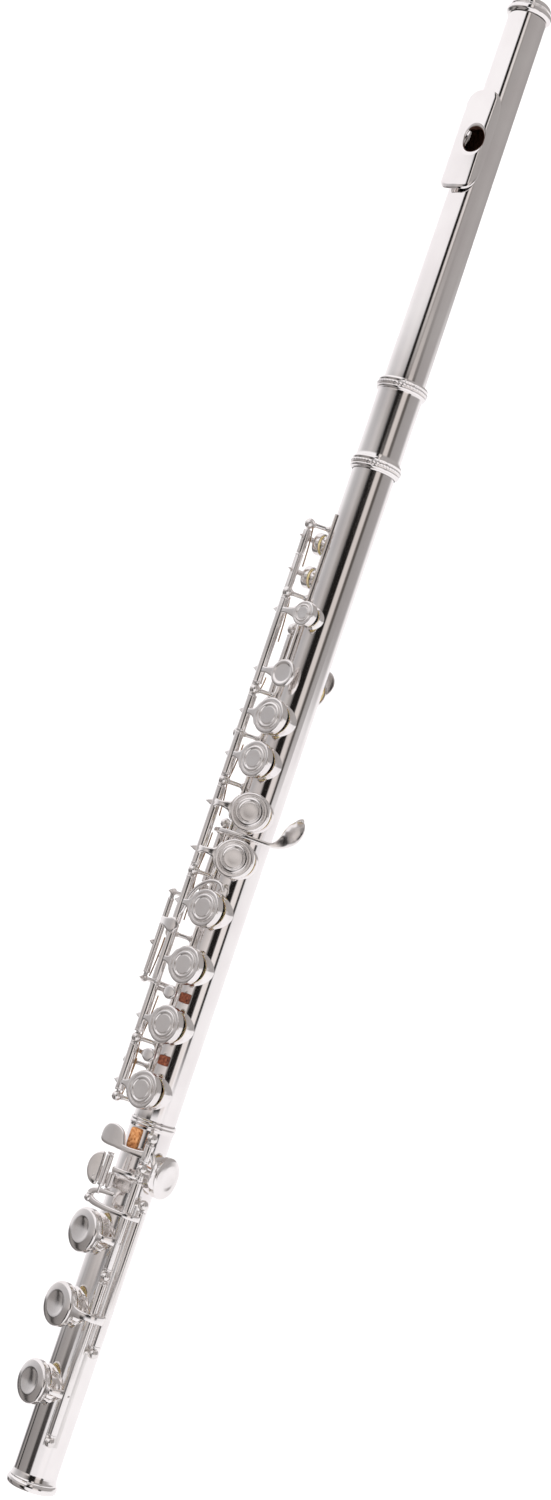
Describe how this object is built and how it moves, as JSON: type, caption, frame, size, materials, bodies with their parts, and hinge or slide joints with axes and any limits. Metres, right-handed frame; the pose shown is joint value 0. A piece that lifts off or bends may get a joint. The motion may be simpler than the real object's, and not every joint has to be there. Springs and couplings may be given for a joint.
{
  "type": "concert flute",
  "caption": "Transverse concert flute in three joints, with padded key cups on hinge rods, offset G keys, trill keys and a low B foot.",
  "frame": {"origin": "centre of the crown's flat end, on the bore axis", "axes": "+X along the bore from the crown to the foot, +Z the way the main key cups face, hinge rods of the body on the -Y side"},
  "size_m": [0.7125, 0.0538, 0.0451],
  "materials": {
    "silver_plate": "bright polished silver plate",
    "steel": "polished steel",
    "pad_skin": "yellow membrane over felt",
    "cork": "natural cork"
  },
  "bodies": {
    "flute_body": {"body_tube": "silver_plate", "barrel": "silver_plate", "main_rib": "silver_plate", "thumb_rib": "silver_plate", "gsharp_rib": "silver_plate", "left_rod": "steel", "right_rod": "steel", "side_rod": "steel", "thumb_rod": "steel", "gsharp_rod": "steel"},
    "head_joint": {"head_tube": "silver_plate", "lip_plate": "silver_plate"},
    "crown_cap": {"crown": "silver_plate"},
    "stopper_assembly": {"stopper": "steel", "stopper_cork": "cork"},
    "foot_joint": {"foot_tube": "silver_plate", "foot_rib": "silver_plate", "foot_dsharp_rod": "steel", "foot_c_rod": "steel"},
    "csharp": {"csharp_key": "silver_plate", "csharp_pad": "pad_skin"},
    "bflat": {"bflat_key": "silver_plate", "bflat_pad": "pad_skin"},
    "a": {"a_key": "silver_plate", "a_pad": "pad_skin"},
    "g": {"g_key": "silver_plate", "g_upper_pad": "pad_skin", "g_lower_pad": "pad_skin"},
    "gsharp": {"gsharp_key": "silver_plate", "gsharp_pad": "pad_skin"},
    "thumb_b": {"thumb_b_key": "silver_plate", "thumb_b_pad": "pad_skin"},
    "thumb_bflat": {"thumb_bflat_lever": "silver_plate"},
    "side_bflat": {"side_lever": "silver_plate"},
    "d_trill": {"d_trill_key": "silver_plate", "d_trill_pad": "pad_skin"},
    "dsharp_trill": {"dsharp_trill_key": "silver_plate", "dsharp_trill_pad": "pad_skin"},
    "fsharp": {"fsharp_key": "silver_plate", "fsharp_pad": "pad_skin"},
    "f": {"f_key": "silver_plate", "f_pad": "pad_skin"},
    "e": {"e_key": "silver_plate", "e_pad": "pad_skin"},
    "d": {"d_key": "silver_plate", "d_pad": "pad_skin"},
    "foot_dsharp": {"foot_dsharp_key": "silver_plate", "foot_dsharp_pad": "pad_skin"},
    "foot_csharp": {"foot_csharp_key": "silver_plate", "foot_csharp_pad": "pad_skin"},
    "foot_c": {"foot_c_key": "silver_plate", "foot_c_pad": "pad_skin"},
    "foot_b": {"foot_b_key": "silver_plate", "foot_b_pad": "pad_skin"},
    "low_c_roller": {"c_roller": "silver_plate"},
    "low_b_roller": {"b_roller": "silver_plate"}
  },
  "joints": [
    {"name": "head_slide", "type": "slide", "parent": "flute_body", "child": "head_joint", "axis": [-1, 0, 0], "range_m": [0, 0.015]},
    {"name": "foot_turn", "type": "hinge", "parent": "flute_body", "child": "foot_joint", "pos_m": [0.55, 0, 0], "axis": [1, 0, 0], "continuous": true},
    {"name": "crown_turn", "type": "hinge", "parent": "head_joint", "child": "crown_cap", "pos_m": [0.005, 0, 0], "axis": [1, 0, 0], "range_deg": [-361, 361]},
    {"name": "stopper_slide", "type": "slide", "parent": "head_joint", "child": "stopper_assembly", "axis": [1, 0, 0], "range_m": [-0.00075, 0.00075]},
    {"name": "csharp_hinge", "type": "hinge", "parent": "flute_body", "child": "csharp", "pos_m": [0.313, -0.015, 0.0135], "axis": [-1, 0, 0], "range_deg": [0, 9], "stiffness_Nm_per_rad": 0.02, "springref_deg": -17.19},
    {"name": "bflat_hinge", "type": "hinge", "parent": "flute_body", "child": "bflat", "pos_m": [0.348, -0.015, 0.0135], "axis": [-1, 0, 0], "range_deg": [0, 9], "stiffness_Nm_per_rad": 0.02, "springref_deg": -17.19},
    {"name": "a_hinge", "type": "hinge", "parent": "flute_body", "child": "a", "pos_m": [0.367, -0.015, 0.0135], "axis": [-1, 0, 0], "range_deg": [0, 9], "stiffness_Nm_per_rad": 0.02, "springref_deg": -17.19},
    {"name": "g_hinge", "type": "hinge", "parent": "flute_body", "child": "g", "pos_m": [0.4015, -0.015, 0.0135], "axis": [-1, 0, 0], "range_deg": [0, 9], "stiffness_Nm_per_rad": 0.02, "springref_deg": -17.19},
    {"name": "gsharp_hinge", "type": "hinge", "parent": "flute_body", "child": "gsharp", "pos_m": [0.413, -0.0159, -0.0014], "axis": [-1, 0, 0], "range_deg": [0, 8], "stiffness_Nm_per_rad": 0.02, "springref_deg": -17.19},
    {"name": "thumb_b_hinge", "type": "hinge", "parent": "flute_body", "child": "thumb_b", "pos_m": [0.3276, -0.0164, -0.0044], "axis": [1, 0, 0], "range_deg": [0, 9], "stiffness_Nm_per_rad": 0.02, "springref_deg": -17.19},
    {"name": "thumb_bflat_hinge", "type": "hinge", "parent": "flute_body", "child": "thumb_bflat", "pos_m": [0.3125, -0.0164, -0.0044], "axis": [1, 0, 0], "range_deg": [0, 9], "stiffness_Nm_per_rad": 0.02, "springref_deg": -17.19},
    {"name": "side_bflat_hinge", "type": "hinge", "parent": "flute_body", "child": "side_bflat", "pos_m": [0.456, -0.0223, 0.012], "axis": [-1, 0, 0], "range_deg": [0, 6], "stiffness_Nm_per_rad": 0.02, "springref_deg": -17.19},
    {"name": "d_trill_hinge", "type": "hinge", "parent": "flute_body", "child": "d_trill", "pos_m": [0.376, -0.0182, 0.009], "axis": [-1, 0, 0], "range_deg": [0, 9], "stiffness_Nm_per_rad": 0.02, "springref_deg": -17.19},
    {"name": "dsharp_trill_hinge", "type": "hinge", "parent": "flute_body", "child": "dsharp_trill", "pos_m": [0.385, -0.0182, 0.009], "axis": [-1, 0, 0], "range_deg": [0, 9], "stiffness_Nm_per_rad": 0.02, "springref_deg": -17.19},
    {"name": "fsharp_hinge", "type": "hinge", "parent": "flute_body", "child": "fsharp", "pos_m": [0.437, -0.015, 0.0135], "axis": [-1, 0, 0], "range_deg": [0, 9], "stiffness_Nm_per_rad": 0.02, "springref_deg": -17.19},
    {"name": "f_hinge", "type": "hinge", "parent": "flute_body", "child": "f", "pos_m": [0.4625, -0.015, 0.0135], "axis": [-1, 0, 0], "range_deg": [0, 9], "stiffness_Nm_per_rad": 0.02, "springref_deg": -17.19},
    {"name": "e_hinge", "type": "hinge", "parent": "flute_body", "child": "e", "pos_m": [0.4885, -0.015, 0.0135], "axis": [-1, 0, 0], "range_deg": [0, 9], "stiffness_Nm_per_rad": 0.02, "springref_deg": -17.19},
    {"name": "d_hinge", "type": "hinge", "parent": "flute_body", "child": "d", "pos_m": [0.517, -0.015, 0.0135], "axis": [-1, 0, 0], "range_deg": [0, 9], "stiffness_Nm_per_rad": 0.02, "springref_deg": -17.19},
    {"name": "foot_dsharp_hinge", "type": "hinge", "parent": "foot_joint", "child": "foot_dsharp", "pos_m": [0.5506, 0.0106, 0.0144], "axis": [1, 0, 0], "range_deg": [0, 9], "stiffness_Nm_per_rad": 0.02, "springref_deg": -17.19},
    {"name": "foot_csharp_hinge", "type": "hinge", "parent": "foot_joint", "child": "foot_csharp", "pos_m": [0.5846, 0.0106, 0.0144], "axis": [1, 0, 0], "range_deg": [0, 9], "stiffness_Nm_per_rad": 0.02, "springref_deg": -17.19},
    {"name": "foot_c_hinge", "type": "hinge", "parent": "foot_joint", "child": "foot_c", "pos_m": [0.608, 0.0154, 0.0112], "axis": [1, 0, 0], "range_deg": [0, 9], "stiffness_Nm_per_rad": 0.02, "springref_deg": -17.19},
    {"name": "foot_b_hinge", "type": "hinge", "parent": "foot_joint", "child": "foot_b", "pos_m": [0.647, 0.0106, 0.0144], "axis": [1, 0, 0], "range_deg": [0, 9], "stiffness_Nm_per_rad": 0.02, "springref_deg": -17.19},
    {"name": "c_roller_spin", "type": "hinge", "parent": "foot_c", "child": "low_c_roller", "pos_m": [0.568, -0.00365, 0.0207], "axis": [1, 0, 0], "continuous": true},
    {"name": "b_roller_spin", "type": "hinge", "parent": "foot_b", "child": "low_b_roller", "pos_m": [0.569, -0.00026, 0.01936], "axis": [1, 0, 0], "continuous": true}
  ],
  "couplings": [
    {"joint": "bflat_hinge", "follows": "a_hinge", "ratio": 1},
    {"joint": "fsharp_hinge", "follows": "f_hinge", "ratio": 1},
    {"joint": "crown_turn", "follows": "stopper_slide", "rad_per_m": -8377.6}
  ]
}
